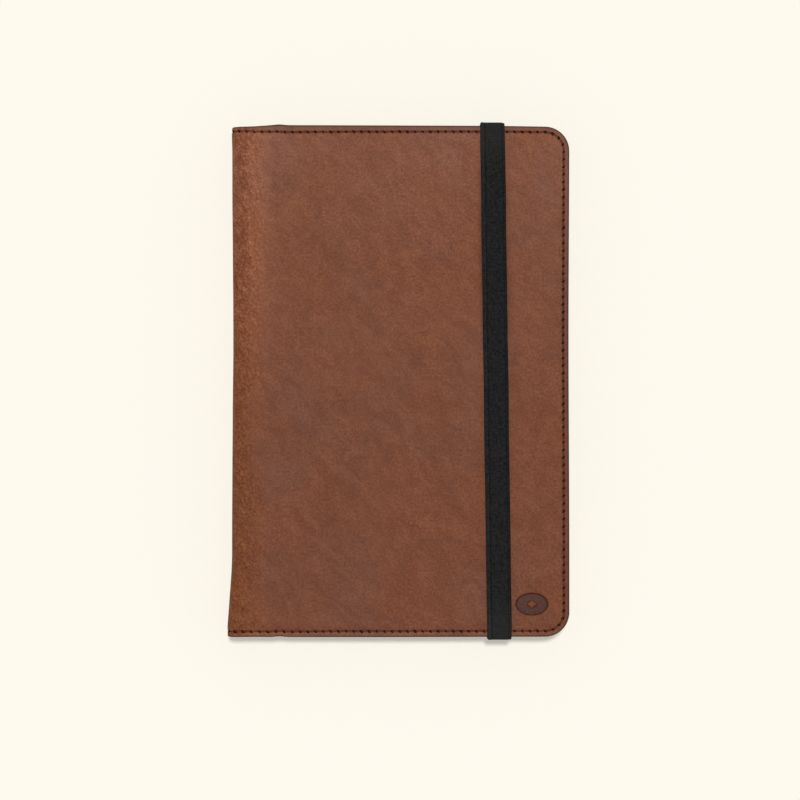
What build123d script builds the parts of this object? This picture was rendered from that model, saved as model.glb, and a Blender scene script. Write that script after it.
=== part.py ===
from build123d import *
from math import atan2, cos, degrees, pi, sin
import os

# A leather notebook cover, closed round a hardback notebook and lying on its back.
# X runs from the spine (-X) to the fore-edge (+X), Y from the foot (-Y) to the head (+Y), Z up.
# The origin is the middle of the footprint, on the face that the cover rests on.

# Leather case
cover_width = 146.5
cover_height = 222.0
closed_thickness = 20.6
corner_radius = 10.6
fold_radius = 4.0
outer_leather = 1.6
sleeve_leather = 1.2
lining_leather = 0.8
sleeve_end_from_spine = 21.0

# Saddle seam round the head, fore-edge and foot
seam_inset = 2.5
stitch_pitch = 3.32
groove_width = 0.9
groove_depth = 0.5
thread_width = 0.6
thread_sunk = 0.1
needle_hole = 0.5
thread_proud_inside = 0.3

# Notebook
board_thickness = 1.8
board_clearance = 0.1
board_height = 210.0
board_left_gap = 0.25
board_right_gap = 5.25
board_corner = 6.0
pocket_gap = 0.4
pastedown = 0.15
page_square = 2.5
page_gap = 0.2
signature_count = 8
spine_card = 0.8
spine_card_gap = 0.1
glue_lining = 0.5
headband_size = 1.4

# Elastic strap, sewn in between the leathers of the back
strap_width = 10.7
strap_thickness = 1.2
strap_clearance = 0.1
strap_rest_gap = 0.05
strap_from_fore_edge_head = 33.4
strap_from_fore_edge_foot = 30.4
tail_length = 4.4
tail_thickness = 1.0
hump_side = 1.4

# Pressed mark by the lower corner of the front
mark_from_fore_edge = 16.3
mark_from_foot = 14.2
mark_length = 14.2
mark_height = 9.8
mark_depth = 0.3
mark_diamond = 3.4

# Worked out from the sizes above
spine_x = -cover_width / 2
fore_x = cover_width / 2
head_y = cover_height / 2
fold_x = spine_x + fold_radius
sleeve_end_x = spine_x + sleeve_end_from_spine
mid_z = closed_thickness / 2
board_bottom = outer_leather + board_clearance
board_top = board_bottom + board_thickness
pocket_top = board_top + board_clearance
sleeve_top = pocket_top + sleeve_leather
board_left = fold_x + board_left_gap
board_right = fore_x - board_right_gap
board_y = board_height / 2
mid_plane = Plane(origin=(0, 0, mid_z), x_dir=(1, 0, 0), z_dir=(0, 0, 1))


def block(x0, x1, y0, y1, z0, z1):
    """A box between two opposite corners."""
    size = Box(x1 - x0, y1 - y0, z1 - z0)
    return Pos((x0 + x1) / 2, (y0 + y1) / 2, (z0 + z1) / 2) * size


def rounded_sheet(x0, x1, half_y, radius, z0, z1):
    """A flat sheet whose two fore-edge corners are rounded."""
    sheet = block(x0, x1, -half_y, half_y, z0, z1)
    corners = sheet.edges().filter_by(Axis.Z).group_by(Axis.X)[-1]
    return fillet(corners, radius)


def case_sheet(x0, inset, z0, z1):
    """The outline of the leather case, drawn in from its edge by inset."""
    return rounded_sheet(x0, fore_x - inset, head_y - inset, corner_radius - inset, z0, z1)


def seam_band(x0, width, z0, z1):
    """A strip of the given width that follows the seam line."""
    outside = case_sheet(x0, seam_inset - width / 2, z0, z1)
    inside = case_sheet(x0 - 1, seam_inset + width / 2, z0 - 1, z1 + 1)
    return outside - inside


def seam_holes():
    """The needle holes along the seam line, evenly spaced from the head round to the foot."""
    radius = corner_radius - seam_inset
    straight_x = fore_x - corner_radius - fold_x
    straight_y = 2 * (head_y - corner_radius)
    quarter = pi / 2 * radius
    length = 2 * straight_x + 2 * quarter + straight_y
    count = round(length / stitch_pitch)
    for i in range(count):
        s = (i + 0.5) * length / count
        foot = s > length / 2
        if foot:
            s = length - s
        if s < straight_x:
            x, y = fold_x + s, head_y - seam_inset
        elif s < straight_x + quarter:
            turn = (s - straight_x) / radius
            x = fore_x - corner_radius + radius * sin(turn)
            y = head_y - corner_radius + radius * cos(turn)
        else:
            x, y = fore_x - seam_inset, head_y - corner_radius - (s - straight_x - quarter)
        yield x, (-y if foot else y)


def outer_leather_sheet():
    """The outer leather of the back, with the groove that the seam lies in."""
    sheet = case_sheet(fold_x, 0, 0, outer_leather)
    return sheet - seam_band(fold_x - 1, groove_width, -1, groove_depth)


def strap_ends():
    """The strap's centre at the head and the foot, as (x, sign of y)."""
    return (
        (fore_x - strap_from_fore_edge_head, 1),
        (fore_x - strap_from_fore_edge_foot, -1),
    )


def beside_strap(x, side, grow, y_in, y_out, z0, z1):
    """A box as wide as the strap plus grow on each side, between two distances from the middle."""
    half = strap_width / 2 + grow
    return block(x - half, x + half, min(side * y_in, side * y_out), max(side * y_in, side * y_out), z0, z1)


def sleeve_sheet(with_strap):
    """The inner leather: a flat rim that is sewn down and a raised pocket that holds the board."""
    rim = case_sheet(sleeve_end_x, 0, outer_leather, outer_leather + sleeve_leather)
    wall = pocket_gap + sleeve_leather
    pocket = rounded_sheet(
        sleeve_end_x, board_right + wall, board_y + wall, board_corner + wall, outer_leather, sleeve_top
    )
    hollow = rounded_sheet(
        sleeve_end_x - 1,
        board_right + pocket_gap,
        board_y + pocket_gap,
        board_corner + pocket_gap,
        outer_leather - 1,
        pocket_top,
    )
    sleeve = rim + pocket
    if with_strap:
        hump_top = outer_leather + tail_thickness + sleeve_leather
        for x, side in strap_ends():
            sleeve += beside_strap(x, side, hump_side, board_y + wall - 0.5, head_y, outer_leather, hump_top)
        for x, side in strap_ends():
            sleeve -= beside_strap(
                x, side, 0, head_y - tail_length, head_y + 1, outer_leather - 1, outer_leather + tail_thickness
            )
    return sleeve - hollow


def seam_thread():
    """One line of thread: a bar in the groove, a leg down each needle hole and a bar inside."""
    top = seam_band(fold_x, thread_width, thread_sunk, groove_depth)
    inside_z = outer_leather + sleeve_leather
    sewn_down = seam_band(sleeve_end_x, thread_width, inside_z, inside_z + thread_proud_inside)
    past_sleeve = seam_band(fold_x, thread_width, outer_leather, outer_leather + thread_proud_inside)
    past_sleeve &= block(fold_x, sleeve_end_x, -head_y, head_y, 0, closed_thickness)
    legs = []
    for x, y in seam_holes():
        inner_end = inside_z if x > sleeve_end_x else outer_leather
        leg = Cylinder(needle_hole / 2, inner_end, align=(Align.CENTER, Align.CENTER, Align.MIN))
        legs.append(Pos(x, y, 0) * leg)
    trimmed = [leg & block(fold_x, fore_x, -head_y, head_y, groove_depth, mid_z) for leg in legs]
    return (top + trimmed) + [sewn_down, past_sleeve]


def join_ends(thread):
    """A last leg at each sleeve end joins the thread inside the sleeve to the thread beside it."""
    for side in (1, -1):
        y = side * (head_y - seam_inset)
        thread += block(
            sleeve_end_x - thread_width / 2,
            sleeve_end_x + thread_width / 2,
            y - thread_width / 2,
            y + thread_width / 2,
            outer_leather,
            outer_leather + sleeve_leather + thread_proud_inside,
        )
    return thread


def board():
    """A covered board of the notebook, with its fore-edge corners rounded."""
    return rounded_sheet(board_left, board_right, board_y, board_corner, board_bottom, board_top)


def endpaper():
    """The paper pasted to a board's inner face, beside the sleeve."""
    left = board_left + 2
    right = sleeve_end_x - 0.3
    half_y = board_y - page_square
    return block(left, right, -half_y, half_y, board_top, board_top + pastedown)


def pressed_mark():
    # a plain oval pressed into the grain side, with a small diamond left standing in it
    oval = Ellipse(mark_length / 2, mark_height / 2)
    half = mark_diamond / 2
    diamond = make_face(Polyline((half * 1.25, 0), (0, half), (-half * 1.25, 0), (0, -half), close=True))
    x = fore_x - mark_from_fore_edge
    y = mark_from_foot - head_y
    flat = Pos(x, y, closed_thickness - mark_depth) * (oval - diamond)
    return extrude(flat, amount=mark_depth * 2)


def fold_strip(front):
    """A quarter-round strip of leather between the spine and one side."""
    centre_z = closed_thickness - fold_radius if front else fold_radius

    def quarter_ring(outer_r, inner_r, width):
        ring = Cylinder(outer_r, width) - Cylinder(inner_r, width + 2)
        ring = Pos(fold_x, 0, centre_z) * Rot(90, 0, 0) * ring
        low, high = (centre_z, centre_z + outer_r) if front else (centre_z - outer_r, centre_z)
        return ring & block(fold_x - outer_r, fold_x, -width, width, low, high)

    strip = quarter_ring(fold_radius, fold_radius - outer_leather, cover_height)
    groove = quarter_ring(fold_radius + 1, fold_radius - groove_depth, groove_width)
    for side in (1, -1):
        strip -= Pos(0, side * (head_y - seam_inset), 0) * groove
    return strip


def spine_leather():
    """The flat of the spine, with the two short grooves that carry the seam across it."""
    low, high = fold_radius, closed_thickness - fold_radius
    sheet = block(spine_x, spine_x + outer_leather, -head_y, head_y, low, high)
    for side in (1, -1):
        y = side * (head_y - seam_inset)
        sheet -= block(
            spine_x - 1, spine_x + groove_depth, y - groove_width / 2, y + groove_width / 2, low - 1, high + 1
        )
    return sheet


def spine_thread():
    """The two short runs of thread across the spine, each with its legs and its bar inside."""
    low, high = fold_radius, closed_thickness - fold_radius
    count = round((high - low) / stitch_pitch)
    inside_x = spine_x + outer_leather
    runs = []
    for side in (1, -1):
        y = side * (head_y - seam_inset)
        y0, y1 = y - thread_width / 2, y + thread_width / 2
        run = block(spine_x + thread_sunk, spine_x + groove_depth, y0, y1, low, high)
        run += block(inside_x, inside_x + thread_proud_inside, y0, y1, low, high)
        for i in range(count):
            z = low + (i + 0.5) * (high - low) / count
            half = needle_hole / 2
            run += block(spine_x + groove_depth, inside_x, y - half, y + half, z - half, z + half)
        runs.append(run)
    return Compound(children=runs)


def spine_lining():
    """The thin leather glued inside the spine, between the two short runs of thread."""
    half_y = head_y - seam_inset - thread_width
    low = fold_radius + 0.4
    x0 = spine_x + outer_leather
    return block(x0, x0 + lining_leather, -half_y, half_y, low, closed_thickness - low)


def notebook_spine():
    """The stiff card of the notebook's own spine."""
    x0 = spine_x + outer_leather + lining_leather + spine_card_gap
    low = board_bottom + 0.9
    return block(x0, x0 + spine_card, -board_y, board_y, low, closed_thickness - low)


def elastic_strap():
    """The strap over the front: a leaning span with a leg down to the seam at each end."""
    y_in = head_y + strap_clearance
    y_out = y_in + strap_thickness
    under = closed_thickness + strap_rest_gap
    (head_x, _), (foot_x, _) = strap_ends()
    half = strap_width / 2
    outline = Polyline(
        (head_x - half, y_out), (head_x + half, y_out), (foot_x + half, -y_out), (foot_x - half, -y_out), close=True
    )
    span = extrude(Pos(0, 0, under) * make_face(outline), amount=strap_thickness)
    for x, side in strap_ends():
        span += beside_strap(x, side, 0, y_in, y_out, outer_leather, under + strap_thickness)
    return span


def strap_tails():
    """The two ends of the elastic, held by the seam between the leathers of the back."""
    tails = [
        beside_strap(
            x, side, 0, head_y - tail_length, head_y + strap_clearance, outer_leather, outer_leather + tail_thickness
        )
        for x, side in strap_ends()
    ]
    return Compound(children=tails)


def signatures():
    """The folded gatherings of pages, each rounded where it is folded."""
    low = sleeve_top + page_gap
    high = closed_thickness - sleeve_top - page_gap
    thick = (high - low) / signature_count
    half_y = board_y - page_square
    right = board_right - page_square
    left = board_left + 2 * page_square / 3
    for i in range(signature_count):
        z0 = low + i * thick
        leaf = rounded_sheet(left + thick / 2, right, half_y, board_corner, z0, z0 + thick)
        back = Cylinder(thick / 2, 2 * half_y)
        back = Pos(left + thick / 2, 0, z0 + thick / 2) * Rot(90, 0, 0) * back
        yield leaf + back


def block_lining():
    """The strip of glued cloth that holds the gatherings together at their folds."""
    low = sleeve_top + page_gap
    left = board_left + 2 * page_square / 3
    half_y = board_y - page_square - headband_size
    return block(left - glue_lining - 0.05, left - 0.05, -half_y, half_y, low, closed_thickness - low)


def headband(side):
    """A small woven bead at one end of the page block's spine."""
    low = sleeve_top + page_gap
    left = board_left + 2 * page_square / 3
    y = side * (board_y - page_square - headband_size / 2)
    length = closed_thickness - 2 * low
    bead = Cylinder(headband_size / 2, length)
    return Pos(left - headband_size / 2 - 0.05, y, mid_z) * bead


def other_side(solid):
    """The same piece on the front of the case."""
    return mirror(solid, about=mid_plane)


thread = join_ends(seam_thread())

parts = {
    "back_outer_leather": outer_leather_sheet(),
    "back_sleeve_leather": sleeve_sheet(with_strap=True),
    "back_seam_thread": thread,
    "front_outer_leather": other_side(outer_leather_sheet()) - pressed_mark(),
    "front_sleeve_leather": other_side(sleeve_sheet(with_strap=False)),
    "front_seam_thread": other_side(thread),
    "spine_outer_leather": spine_leather(),
    "spine_lining_leather": spine_lining(),
    "spine_seam_thread": spine_thread(),
    "back_fold_leather": fold_strip(front=False),
    "front_fold_leather": fold_strip(front=True),
    "elastic_strap": elastic_strap(),
    "strap_sewn_ends": strap_tails(),
    "notebook_back_board": board(),
    "notebook_front_board": other_side(board()),
    "back_endpaper": endpaper(),
    "front_endpaper": other_side(endpaper()),
    "notebook_spine_card": notebook_spine(),
    "page_block_lining": block_lining(),
    "head_headband": headband(1),
    "foot_headband": headband(-1),
}
for number, leaf in enumerate(signatures(), 1):
    parts[f"page_signature_{number}"] = leaf

os.makedirs("parts", exist_ok=True)
for name, solid in parts.items():
    export_step(solid, f"parts/{name}.step")

lean = degrees(atan2(strap_from_fore_edge_head - strap_from_fore_edge_foot, cover_height))
print(f"{len(parts)} nodes, strap leans {lean:.2f} degrees")
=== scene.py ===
import math

import bpy
import numpy as np
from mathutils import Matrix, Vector, noise


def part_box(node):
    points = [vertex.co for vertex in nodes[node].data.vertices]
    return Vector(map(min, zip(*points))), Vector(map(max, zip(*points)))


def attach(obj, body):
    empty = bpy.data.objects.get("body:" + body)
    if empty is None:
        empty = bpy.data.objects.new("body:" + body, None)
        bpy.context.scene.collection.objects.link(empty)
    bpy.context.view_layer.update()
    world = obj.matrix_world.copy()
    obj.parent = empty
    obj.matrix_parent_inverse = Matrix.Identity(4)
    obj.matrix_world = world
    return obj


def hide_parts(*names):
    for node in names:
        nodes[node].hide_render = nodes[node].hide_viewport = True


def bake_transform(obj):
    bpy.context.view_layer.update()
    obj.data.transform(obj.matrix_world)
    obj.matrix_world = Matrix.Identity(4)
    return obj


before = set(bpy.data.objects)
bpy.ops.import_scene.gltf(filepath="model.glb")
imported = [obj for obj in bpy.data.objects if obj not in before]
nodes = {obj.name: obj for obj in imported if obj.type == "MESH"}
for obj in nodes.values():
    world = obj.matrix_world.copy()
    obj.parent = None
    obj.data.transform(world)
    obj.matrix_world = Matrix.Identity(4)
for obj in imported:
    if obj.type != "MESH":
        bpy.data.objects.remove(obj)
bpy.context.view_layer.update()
mm = 0.001

# where the leather case stands, read from the frame
frontLow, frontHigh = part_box("front_outer_leather")
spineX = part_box("spine_outer_leather")[0].x
sleeveLow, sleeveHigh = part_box("back_sleeve_leather")
strapLow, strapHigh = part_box("elastic_strap")
foldX, foreX, headY, topZ = frontLow.x, frontHigh.x, frontHigh.y, frontHigh.z
midZ = topZ / 2
foldRadius = foldX - spineX
leatherThick = frontHigh.z - frontLow.z
spineHalf = topZ - foldRadius - midZ
faceStart = spineHalf + foldRadius * math.pi / 2
sheetLength = faceStart + foreX - foldX

leatherCase = {
    "corner": 10.6 * mm,
    "seamInset": 2.5 * mm,
    "grooveDeep": 0.4 * mm,
    "grooveHalf": 0.34 * mm,
    "edgeDrop": 0.42 * mm,  # the sewn edges draw together
    "edgeDropFrom": 5.6 * mm,
    "edgeRound": 0.42 * mm,
    "spineBulge": 0.35 * mm,
    "waviness": 0.16 * mm,
    "footFlare": 2.0 * mm,
    "footFlareInside": 1.2 * mm,  # small enough to lie flat when the cover is open
    "waist": 0.5 * mm,  # the spine and the fore-edge draw in halfway up
    "foreEdgeDraw": 0.35 * mm,
    "smoothAngle": math.radians(38),
}
# insets of the rows of points along a sewn edge, closer together where the thread sinks in
rimInsets = [0, 0.12, 0.3, 0.6, 1.0, 1.5, 1.9]
grooveInsets = [2.15, 2.33, 2.5, 2.67, 2.85]
faceInsets = [3.1, 3.6, 4.4, 5.4, 6.8, 8.6]
edgeInsets = np.array(rimInsets + grooveInsets + faceInsets) * mm
seam = {
    "pitch": 3.32 * mm,
    "thread": 0.46 * mm,
    "sunk": 0.24 * mm,
    "proud": 0.34 * mm,  # on the inner side the thread lies on the surface
    "dive": 1.0 * mm,
    "holeLong": 1.75 * mm,
    "holeWide": 1.12 * mm,
    "holeDeep": 1.25 * mm,
    "holeAbove": 0.4 * mm,
    "holeSunk": 0.25 * mm,
    "holeTurn": math.radians(-38),
}
mark = {
    "x": foreX - 16.3 * mm,
    "y": 14.2 * mm - headY,
    "long": 14.2 * mm,
    "high": 9.8 * mm,
    "diamond": 3.4 * mm,
    "deep": 0.5 * mm,
    "soft": 0.42 * mm,
}
# how the hand-made outline and its sewn line wander: places along them, then amounts, in millimetres
wander = {
    # the seam's inset, along the sewn line from either end
    "seamFromHead": (
        [8, 14, 21, 29.5, 38, 60, 120, 160, 260],
        [2.0, 2.05, 2.6, 3.25, 3.05, 2.9, 2.6, 2.45, 2.4],
    ),
    "seamFromFoot": (
        [5, 10, 30, 60, 150, 260],
        [2.9, 2.35, 2.25, 2.5, 2.45, 2.4],
    ),
    # the edges, along them from the spine
    "headEdge": (
        [0, 10, 17, 20.8, 24, 60, 115, 136, 146],
        [-0.75, -0.4, 0.1, 0.5, 0.1, 0, -0.2, -0.55, -0.6],
    ),
    "footEdge": (
        [0, 12, 18, 21, 24, 60, 146],
        [0.1, 0.0, 0.05, -0.3, 0.05, 0.1, -0.1],
    ),
}
corner = leatherCase["corner"]
seamInset = leatherCase["seamInset"]
seamStraight = sheetLength - corner
seamQuarter = (corner - seamInset) * math.pi / 2
seamTotal = 2 * (seamStraight + seamQuarter + headY - corner)
stitchCount = round(seamTotal / seam["pitch"])
stitchStep = seamTotal / stitchCount

# the strap leans: its box holds both ends
strapWidth = 10.7 * mm
strapAtHead = strapLow.x + strapWidth / 2
strapAtFoot = strapHigh.x - strapWidth / 2


def smooth(low, high, value):
    t = np.clip((value - low) / (high - low), 0, 1)
    return t * t * (3 - 2 * t)


def spread(start, end, step):
    count = max(1, round(abs(end - start) / step))
    return np.linspace(start, end, count + 1)


def joined(*runs):
    places = np.concatenate(runs)
    places.sort()
    keep = np.append(True, np.diff(places) > 0.02 * mm)
    return places[keep]


def rolling(x, y, size, seed):
    return np.array([noise.noise(Vector((a / size, b / size, seed))) for a, b in zip(x, y)])


def strapCentre(y):
    return strapAtHead + (strapAtFoot - strapAtHead) * np.clip((headY - y) / (2 * headY), 0, 1)


def seamInsetAt(run):
    # run is the place along the sewn line, from the head end of the spine round to the foot end
    fromHead = np.interp(run / mm, *wander["seamFromHead"])
    fromFoot = np.interp((seamTotal - run) / mm, *wander["seamFromFoot"])
    return np.where(run < seamTotal / 2, fromHead, fromFoot) * mm


def warp(x, y, within):
    # the outline of a worn, hand-made piece; within is 0 on the grain side and 1 on the flesh side
    nearSpine = 1 - smooth(spineX, spineX + 32 * mm, x)
    most = leatherCase["footFlare"] + (leatherCase["footFlareInside"] - leatherCase["footFlare"]) * within
    flare = smooth(-74 * mm, -headY, y) * most
    waist = leatherCase["waist"] * np.exp(-(((y - 25 * mm) / (42 * mm)) ** 2))
    nearFore = smooth(foreX - 30 * mm, foreX, x)
    draw = leatherCase["foreEdgeDraw"] * np.exp(-(((y - 20 * mm) / (60 * mm)) ** 2))
    fromSpine = (x - spineX) / mm
    head = np.interp(fromSpine, *wander["headEdge"])
    foot = np.interp(fromSpine, *wander["footEdge"])
    y = y + smooth(84 * mm, headY, y) * head * mm - smooth(-84 * mm, -headY, y) * foot * mm
    x = x - nearSpine * (flare - waist) - nearFore * draw
    return x, y


def wrap(along, across, lift, front):
    # along runs from the middle of the spine, round the fold and over the face
    turn = np.clip((along - spineHalf) / foldRadius, 0, math.pi / 2)
    x = foldX - (foldRadius + lift) * np.cos(turn) + np.maximum(along - faceStart, 0)
    z = midZ + np.minimum(along, spineHalf) + (foldRadius + lift) * np.sin(turn)
    x, y = warp(x, across, np.clip(-lift / leatherThick, 0, 1))
    return np.stack([x, y, z if front else topZ - z], 1)


def sewnSheet(along, across, length):
    # rounds the two fore-edge corners, so that the rows of points follow the edge
    a = length - along
    b = headY - np.abs(across)
    inset = np.minimum(a, b)
    inCorner = (a < corner) & (b < corner)
    span = np.maximum(corner - inset, 1e-9)
    t = np.where(b <= a, 0.5 * (corner - a) / span, 1 - 0.5 * (corner - b) / span)
    turn = t * math.pi / 2
    straight = length - corner
    upper = np.where(b <= a, along, straight + seamQuarter + headY - corner - np.abs(across))
    upper = np.where(inCorner, straight + turn * (corner - seamInset), upper)
    total = 2 * (straight + seamQuarter + headY - corner)
    run = np.where(across >= 0, upper, total - upper) + (sheetLength - length) * np.sign(across)
    near = smooth(0, 1.6 * mm, inset) * (1 - smooth(3.4 * mm, 7.5 * mm, inset))
    shift = (seamInsetAt(run) - seamInset) * near
    newA = np.where(inCorner, corner - (span - shift) * np.sin(turn), np.where(a < b, a + shift, a))
    newB = np.where(inCorner, corner - (span - shift) * np.cos(turn), np.where(a < b, b, b + shift))
    return length - newA, np.where(across >= 0, headY - newB, newB - headY), inset, run


def onSeam(run, outward):
    # a place beside the seam line, by its distance along the line and outwards from it
    first = run <= seamTotal / 2
    half = np.where(first, run, seamTotal - run)
    inset = seamInsetAt(run) - outward
    turn = np.clip((half - seamStraight) / (corner - seamInset), 0, math.pi / 2)
    along = np.minimum(half, seamStraight) + (corner - inset) * np.sin(turn)
    down = np.maximum(half - seamStraight - seamQuarter, 0)
    across = headY - corner + (corner - inset) * np.cos(turn) - down
    along = np.where(turn == 0, half, along)
    across = np.where(turn == 0, headY - inset, across)
    return along, np.where(first, across, -across)


def edgeDrop(inset, along):
    onFace = smooth(faceStart - 3 * mm, faceStart + 5 * mm, along)
    return leatherCase["edgeDrop"] * (1 - smooth(0.8 * mm, leatherCase["edgeDropFrom"], inset)) * onFace


def faceLift(along, across, inset, front):
    # height of the grain side over the flat face that the frame gives
    e = leatherCase["edgeRound"]
    rim = np.clip(1 - inset / e, 0, 1)
    lift = -edgeDrop(inset, along) - 0.7 * e * (1 - np.sqrt(1 - rim * rim))
    waves = rolling(along, across, 46 * mm, 3.1 if front else 8.3)
    waves += 0.5 * rolling(along, across, 19 * mm, 5.7)
    lift += leatherCase["waviness"] * (waves * 0.7 - 1) * smooth(3 * mm, 11 * mm, inset)
    bulge = leatherCase["spineBulge"] * (1 - smooth(0, faceStart + 2 * mm, along))
    bulge *= 1 + 0.5 * rolling(along, across, 30 * mm, 1.9)
    return lift + bulge * smooth(0, 3 * mm, inset)


def markPress(x, y):
    # a plain oval pressed in, with a small diamond left standing
    dx, dy = (x - mark["x"]) / (mark["long"] / 2), (y - mark["y"]) / (mark["high"] / 2)
    oval = smooth(1 + mark["soft"] / mark["high"], 1 - mark["soft"] / mark["high"], np.hypot(dx, dy))
    far = np.abs(x - mark["x"]) / 1.25 + np.abs(y - mark["y"])
    diamond = smooth(mark["diamond"] / 2 + mark["soft"] / 2, mark["diamond"] / 2 - mark["soft"] / 2, far)
    return oval * (1 - diamond)


def deselect():
    if bpy.context.object and bpy.context.object.mode != "OBJECT":
        bpy.ops.object.mode_set(mode="OBJECT")
    bpy.ops.object.select_all(action="DESELECT")


def only(piece):
    deselect()
    piece.select_set(True)
    bpy.context.view_layer.objects.active = piece


def points(piece):
    flat = np.empty(len(piece.data.vertices) * 3)
    piece.data.vertices.foreach_get("co", flat)
    return flat.reshape(-1, 3)


def setPoints(piece, places):
    piece.data.vertices.foreach_set("co", np.asarray(places, float).ravel())
    piece.data.update()


def withCopies(piece, count):
    pieces = [piece]
    for i in range(1, count):
        copy = piece.copy()
        copy.data = piece.data.copy()
        bpy.context.collection.objects.link(copy)
        pieces.append(copy)
    return pieces


def facesOut():
    bpy.ops.object.mode_set(mode="EDIT")
    bpy.ops.mesh.select_all(action="SELECT")
    bpy.ops.mesh.normals_make_consistent(inside=False)
    bpy.ops.object.mode_set(mode="OBJECT")


def applyAll(piece):
    only(piece)
    for modifier in list(piece.modifiers):
        bpy.ops.object.modifier_apply(modifier=modifier.name)


def finishMesh(piece, angle=None):
    only(piece)
    bpy.ops.object.shade_smooth_by_angle(angle=angle or leatherCase["smoothAngle"])
    piece.select_set(False)


def pickEdges(piece, wanted):
    # selects the edges whose two ends pass the test
    only(piece)
    bpy.ops.object.mode_set(mode="EDIT")
    bpy.ops.mesh.select_mode(type="EDGE")
    bpy.ops.mesh.select_all(action="DESELECT")
    bpy.ops.object.mode_set(mode="OBJECT")
    for edge in piece.data.edges:
        a, b = [piece.data.vertices[i].co for i in edge.vertices]
        edge.select = wanted(a, b)


def gridSheet(name, columns, rows):
    # a flat grid whose lines stand at the given places
    deselect()
    bpy.ops.mesh.primitive_grid_add(x_subdivisions=len(columns) - 1, y_subdivisions=len(rows) - 1, size=1)
    piece = bpy.context.object
    piece.name = name
    flat = points(piece)
    i = np.rint((flat[:, 0] + 0.5) * (len(columns) - 1)).astype(int)
    j = np.rint((flat[:, 1] + 0.5) * (len(rows) - 1)).astype(int)
    return piece, columns[i], rows[j]


def thicken(piece, outer, inner):
    # the grid becomes a closed shell: its outer points, then the same points on the inner side
    setPoints(piece, outer)
    shell = piece.modifiers.new("shell", "SOLIDIFY")
    shell.thickness = leatherThick
    shell.offset = -1
    shell.material_offset = 1
    shell.material_offset_rim = 2
    applyAll(piece)
    setPoints(piece, np.concatenate([outer, inner]))
    only(piece)
    facesOut()


def seamMap(piece, first, second):
    # the piece's own map: on leather the distance in from the sewn edge, and the distance along it
    layer = piece.data.uv_layers[0]
    layer.name = "seam"
    corners = np.empty(len(piece.data.loops), int)
    piece.data.loops.foreach_get("vertex_index", corners)
    layer.data.foreach_set("uv", np.stack([first[corners], second[corners]], 1).ravel())


def stations():
    # the places of the needle holes along the sewn line
    return [(i + 0.5) * stitchStep for i in range(stitchCount)]


print("helpers ready")


class Wire:
    # a socket that takes sums
    def __init__(self, paint, socket):
        self.paint = paint
        self.socket = socket

    def maths(self, operation, *others):
        return self.paint.add("ShaderNodeMath", {"operation": operation}, dict(enumerate((self,) + others)))

    def __add__(self, other):
        return self.maths("ADD", other)

    def __mul__(self, other):
        return self.maths("MULTIPLY", other)

    def __sub__(self, other):
        return self.maths("SUBTRACT", other)

    def __truediv__(self, other):
        return self.maths("DIVIDE", other)

    def __rsub__(self, other):
        return self.maths("MULTIPLY_ADD", -1.0, other)

    __radd__ = __add__
    __rmul__ = __mul__

    def power(self, other):
        return self.maths("POWER", other)

    def size(self):
        return self.maths("ABSOLUTE")

    def ramp(self, low, high, to=(0.0, 1.0)):
        settings = {"interpolation_type": "SMOOTHSTEP"}
        sockets = {"Value": self, "From Min": low, "From Max": high, "To Min": to[0], "To Max": to[1]}
        return self.paint.add("ShaderNodeMapRange", settings, sockets)


class Paint:
    # one material and its nodes
    def __init__(self, name, **constants):
        self.material = bpy.data.materials.new(name)
        self.material.use_nodes = True
        self.tree = self.material.node_tree
        self.shader = self.tree.nodes["Principled BSDF"]
        for socket, value in constants.items():
            self.shader.inputs[socket.replace("_", " ")].default_value = value
        self.place = self.add("ShaderNodeTexCoord", out="Object")

    def add(self, kind, settings=None, sockets=None, out=0):
        node = self.tree.nodes.new(kind)
        for key, value in (settings or {}).items():
            setattr(node, key, value)
        for key, value in (sockets or {}).items():
            if isinstance(value, Wire):
                self.tree.links.new(value.socket, node.inputs[key])
            else:
                node.inputs[key].default_value = value
        return Wire(self, node.outputs[out])

    def set(self, socket, wire):
        self.tree.links.new(wire.socket, self.shader.inputs[socket])

    def spot(self, scale, detail=2.0, rough=0.5, twist=0.0, place=None):
        sockets = {"Vector": place or self.place, "Scale": scale}
        sockets.update({"Detail": detail, "Roughness": rough, "Distortion": twist})
        return self.add("ShaderNodeTexNoise", None, sockets)

    def swirled(self, scale, detail, reach):
        # the place, pushed about by a coloured noise
        sockets = {"Vector": self.place, "Scale": scale, "Detail": detail}
        swirl = self.add("ShaderNodeTexNoise", None, sockets, "Color")
        pushed = {0: swirl, 1: (reach,) * 3, 2: self.place}
        return self.add("ShaderNodeVectorMath", {"operation": "MULTIPLY_ADD"}, pushed)

    def cells(self, scale, feature="F1", place=None):
        sockets = {"Vector": place or self.place, "Scale": scale}
        return self.add("ShaderNodeTexVoronoi", {"feature": feature}, sockets, "Distance")

    def stretched(self, scale, turn=(0.0, 0.0, 0.0), place=None):
        # the pattern is drawn out by the scale, then turned
        sockets = {"Vector": place or self.place, "Scale": scale, "Rotation": turn}
        return self.add("ShaderNodeMapping", {"vector_type": "TEXTURE"}, sockets)

    def mix(self, factor, first, second, kind="MIX"):
        settings = {"data_type": "RGBA", "blend_type": kind}
        colours = {6: first, 7: second}
        for key, value in colours.items():
            if not isinstance(value, Wire):
                colours[key] = (*value, 1.0)
        return self.add("ShaderNodeMix", settings, {0: factor, **colours}, 2)

    def axes(self, vector=None):
        split = self.add("ShaderNodeSeparateXYZ", None, {"Vector": vector or self.place})
        node = split.socket.node
        return [Wire(self, node.outputs[i]) for i in range(3)]

    def bump(self, height, distance, strength=1.0, under=None):
        sockets = {"Height": height, "Distance": distance, "Strength": strength}
        if under:
            sockets["Normal"] = under
        return self.add("ShaderNodeBump", None, sockets)


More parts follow.
